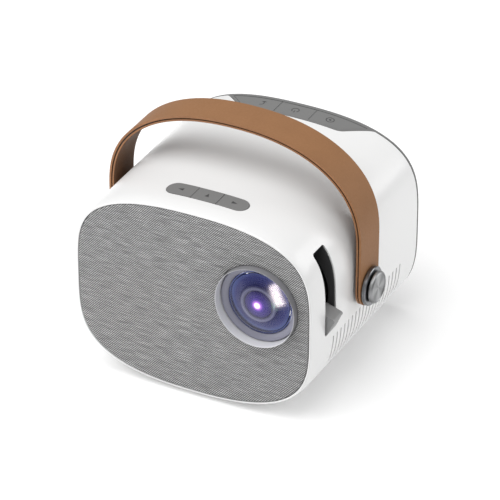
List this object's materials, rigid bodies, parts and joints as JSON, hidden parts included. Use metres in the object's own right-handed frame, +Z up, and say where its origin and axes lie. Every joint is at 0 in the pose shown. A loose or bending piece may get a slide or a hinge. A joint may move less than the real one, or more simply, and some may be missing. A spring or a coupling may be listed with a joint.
{
  "type": "home projector",
  "caption": "Compact home projector with a rounded body, fabric front, off-centre lens with side focus lever, top keys and a swinging strap handle.",
  "frame": {"origin": "centre of the bounding box on the surface that the feet stand on", "axes": "+X to the right seen from the front (lens side), -Y the way the lens looks, +Z up"},
  "size_m": [0.1406, 0.1176, 0.1241],
  "materials": {
    "white_plastic": "satin white ABS",
    "fabric": "mid-grey linen weave speaker cloth",
    "dark_plastic": "matt black plastic",
    "grey_plastic": "satin grey plastic",
    "lens_grey": "light grey satin plastic",
    "glass": "coated optical glass",
    "aluminium": "plain aluminium",
    "board": "green solder mask",
    "rubber": "matt black rubber",
    "brass": "turned brass",
    "steel": "dark nickelled steel",
    "chrome": "spun bright chrome",
    "leather": "tan pebbled leather",
    "lining": "brown leather lining",
    "cone_paper": "black paper cone"
  },
  "bodies": {
    "casing": {"main_shell": "white_plastic", "front_fabric": "fabric", "front_carrier": "dark_plastic", "lens_holder": "dark_plastic", "slot_liner": "dark_plastic", "optical_housing": "dark_plastic", "fan_frame": "dark_plastic", "dc_socket": "dark_plastic", "audio_socket": "dark_plastic", "ir_window": "dark_plastic", "pivot_spacer_left": "dark_plastic", "pivot_spacer_right": "dark_plastic", "rear_cover": "grey_plastic", "lens_ring": "lens_grey", "front_fresnel": "glass", "lcd_panel": "glass", "rear_fresnel": "glass", "light_tunnel": "aluminium", "led_board": "aluminium", "heat_sink": "aluminium", "main_board": "board", "front_key_board": "board", "rear_key_board": "board", "foot_front_left": "rubber", "foot_front_right": "rubber", "foot_rear_left": "rubber", "foot_rear_right": "rubber", "tripod_bush": "brass", "pivot_nut_left": "brass", "pivot_nut_right": "brass", "cover_screw_upper_left": "steel", "cover_screw_upper_right": "steel", "cover_screw_lower_left": "steel", "cover_screw_lower_right": "steel", "speaker_frame": "steel", "hdmi_socket": "steel", "usb_socket": "steel", "pivot_flange_left": "steel", "pivot_flange_right": "steel", "pivot_pin_left": "steel", "pivot_pin_right": "steel", "knob_left": "chrome", "knob_right": "chrome"},
    "handle": {"strap_outer": "leather", "strap_core": "steel", "strap_lining": "lining"},
    "focus_wheel": {"focus_ring": "dark_plastic", "focus_lever": "lens_grey"},
    "lens_group": {"lens_trim_ring": "lens_grey", "lens_barrel": "dark_plastic", "front_lens": "glass", "inner_lens": "glass"},
    "previous_button": {"button_previous": "grey_plastic"},
    "play_button": {"button_play": "grey_plastic"},
    "next_button": {"button_next": "grey_plastic"},
    "back_key": {"key_back": "grey_plastic"},
    "power_key": {"key_power": "grey_plastic"},
    "confirm_key": {"key_confirm": "grey_plastic"},
    "fan": {"fan_rotor": "dark_plastic"},
    "speaker_coil": {"speaker_cone": "cone_paper"}
  },
  "joints": [
    {"name": "handle_swing", "type": "hinge", "parent": "casing", "child": "handle", "pos_m": [0, -0.005, 0.0513], "axis": [1, 0, 0], "range_deg": [-36, 32]},
    {"name": "focus_turn", "type": "hinge", "parent": "casing", "child": "focus_wheel", "pos_m": [0.0335, -0.03695, 0.0594], "axis": [0, -1, 0], "range_deg": [0, 41]},
    {"name": "lens_focus", "type": "slide", "parent": "casing", "child": "lens_group", "axis": [0, 1, 0], "range_m": [0, 0.0025]},
    {"name": "previous_press", "type": "slide", "parent": "casing", "child": "previous_button", "axis": [0, 0, -1], "range_m": [0, 0.0006], "stiffness_N_per_m": 600, "springref_m": -0.0004},
    {"name": "play_press", "type": "slide", "parent": "casing", "child": "play_button", "axis": [0, 0, -1], "range_m": [0, 0.0006], "stiffness_N_per_m": 600, "springref_m": -0.0004},
    {"name": "next_press", "type": "slide", "parent": "casing", "child": "next_button", "axis": [0, 0, -1], "range_m": [0, 0.0006], "stiffness_N_per_m": 600, "springref_m": -0.0004},
    {"name": "back_press", "type": "slide", "parent": "casing", "child": "back_key", "axis": [0, 0, -1], "range_m": [0, 0.0004], "stiffness_N_per_m": 600, "springref_m": -0.0004},
    {"name": "power_press", "type": "slide", "parent": "casing", "child": "power_key", "axis": [0, 0, -1], "range_m": [0, 0.0004], "stiffness_N_per_m": 600, "springref_m": -0.0004},
    {"name": "confirm_press", "type": "slide", "parent": "casing", "child": "confirm_key", "axis": [0, 0, -1], "range_m": [0, 0.0004], "stiffness_N_per_m": 600, "springref_m": -0.0004},
    {"name": "fan_spin", "type": "hinge", "parent": "casing", "child": "fan", "pos_m": [-0.046, 0.0066, 0.0402], "axis": [1, 0, 0], "continuous": true},
    {"name": "cone_travel", "type": "slide", "parent": "casing", "child": "speaker_coil", "axis": [0, -1, 0], "range_m": [-0.0005, 0.0005], "stiffness_N_per_m": 1500}
  ],
  "couplings": [
    {"joint": "lens_focus", "follows": "focus_turn", "m_per_rad": 0.00349}
  ]
}
